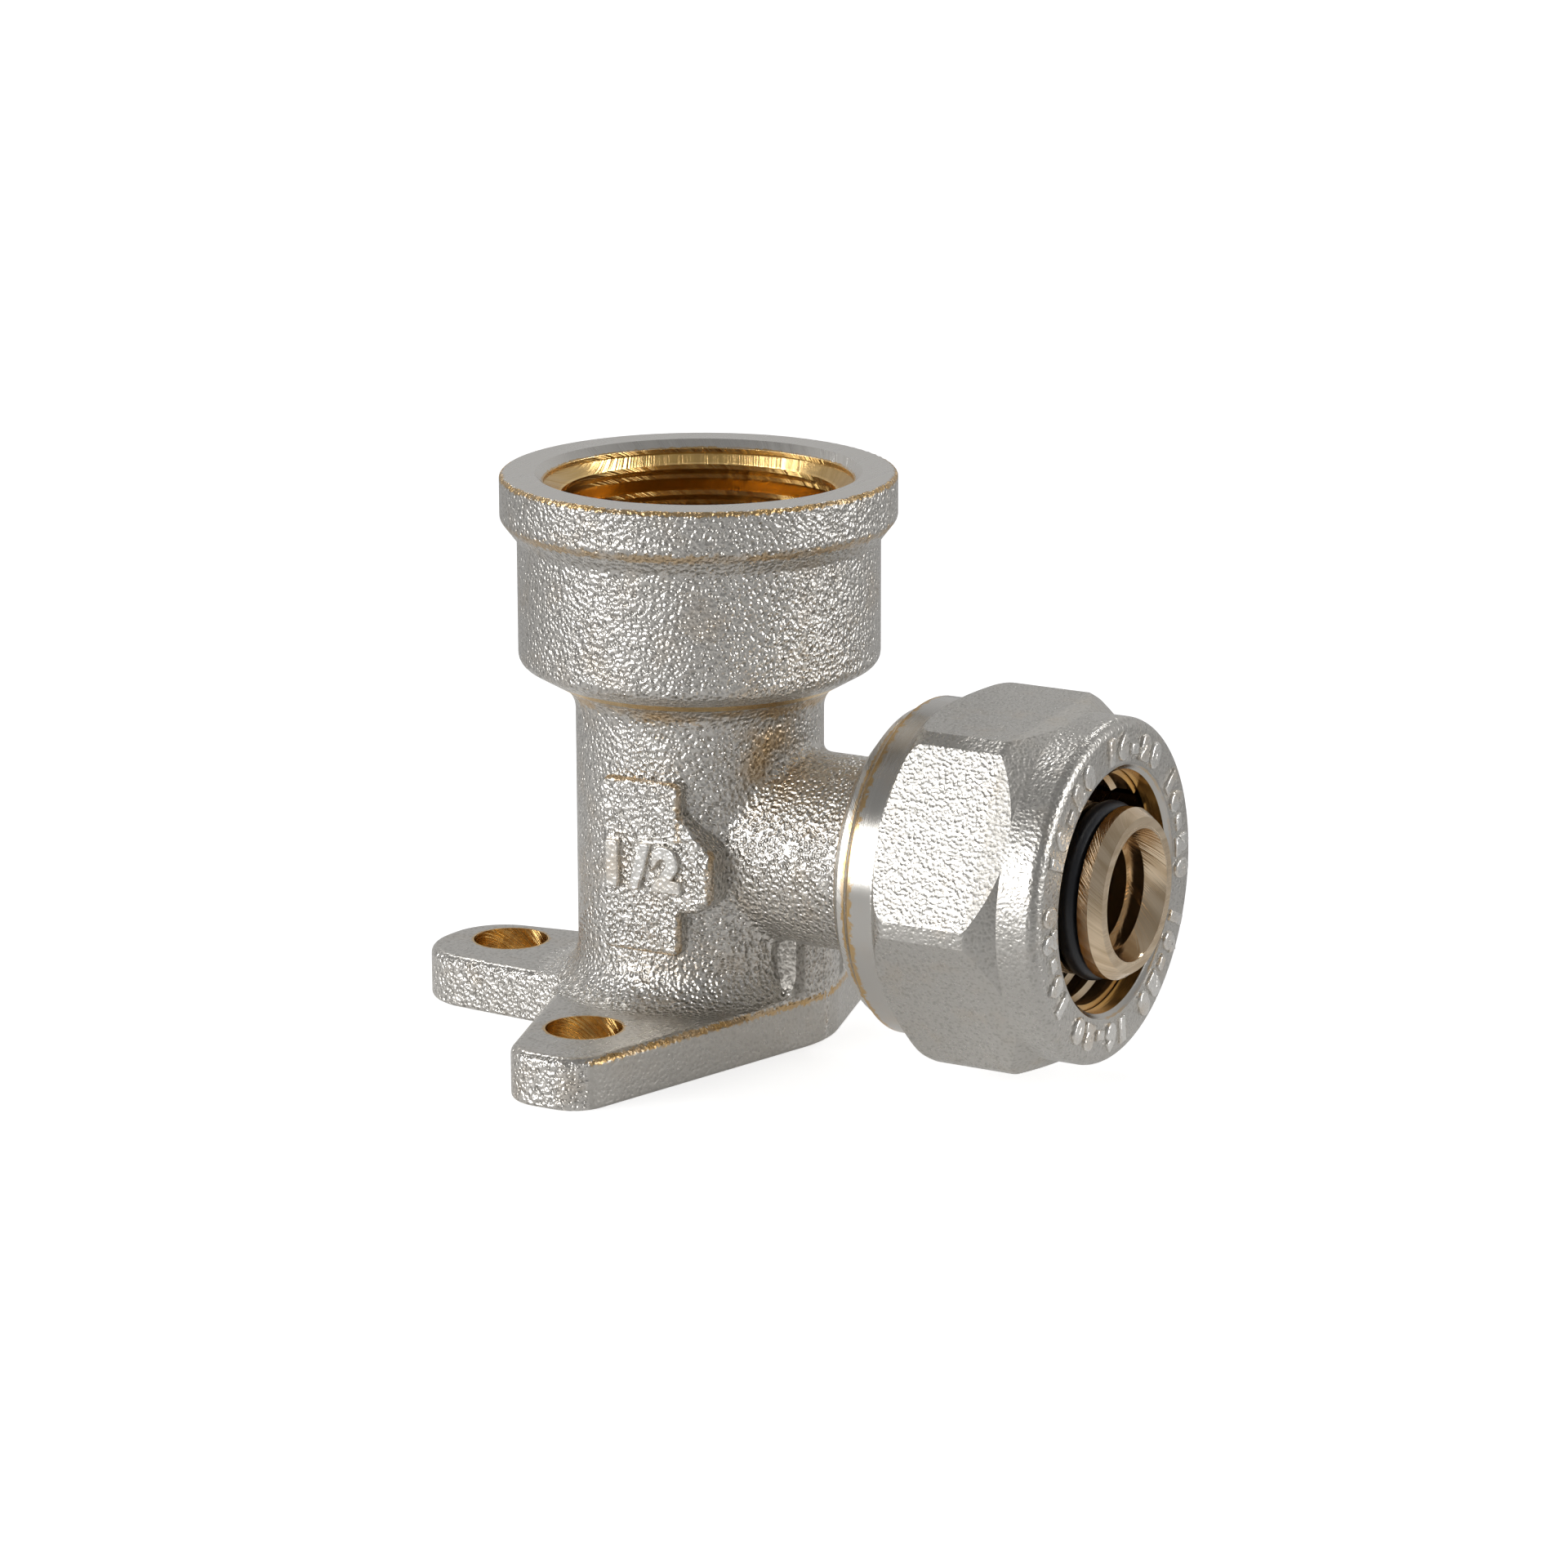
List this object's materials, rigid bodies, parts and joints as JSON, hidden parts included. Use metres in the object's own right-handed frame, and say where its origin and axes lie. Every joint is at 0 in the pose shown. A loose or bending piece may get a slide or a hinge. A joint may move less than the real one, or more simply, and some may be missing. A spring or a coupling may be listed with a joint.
{
  "type": "wall plate elbow",
  "caption": "Nickel-plated brass wall plate elbow: internally threaded socket upright on a three-eared plate, and a hexagonal compression nut on a short side outlet.",
  "frame": {"origin": "on the socket's axis, in the plane of the wall plate's back face", "axes": "+Z along the socket's axis towards its mouth, +X along the outlet's axis towards the pipe, +Y to complete a right-handed frame"},
  "size_m": [0.0535, 0.0446, 0.0386],
  "materials": {
    "nickel_plated_brass": "blasted, nickel plated",
    "bare_brass": "turned",
    "seal_rubber": "satin",
    "washer_plastic": "matte"
  },
  "bodies": {
    "elbow": {"elbow_body": "nickel_plated_brass", "front_o_ring": "seal_rubber", "rear_o_ring": "seal_rubber", "insulating_washer": "washer_plastic"},
    "ring": {"split_ring": "bare_brass"},
    "nut": {"compression_nut": "nickel_plated_brass"}
  },
  "joints": [
    {"name": "nut_travel", "type": "slide", "parent": "elbow", "child": "ring", "axis": [1, 0, 0], "range_m": [0, 0.006]},
    {"name": "nut_turn", "type": "hinge", "parent": "ring", "child": "nut", "pos_m": [0, 0, 0.0135], "axis": [1, 0, 0], "range_deg": [0, 1440]}
  ],
  "couplings": [
    {"joint": "nut_travel", "follows": "nut_turn", "m_per_rad": 0.00023873}
  ]
}
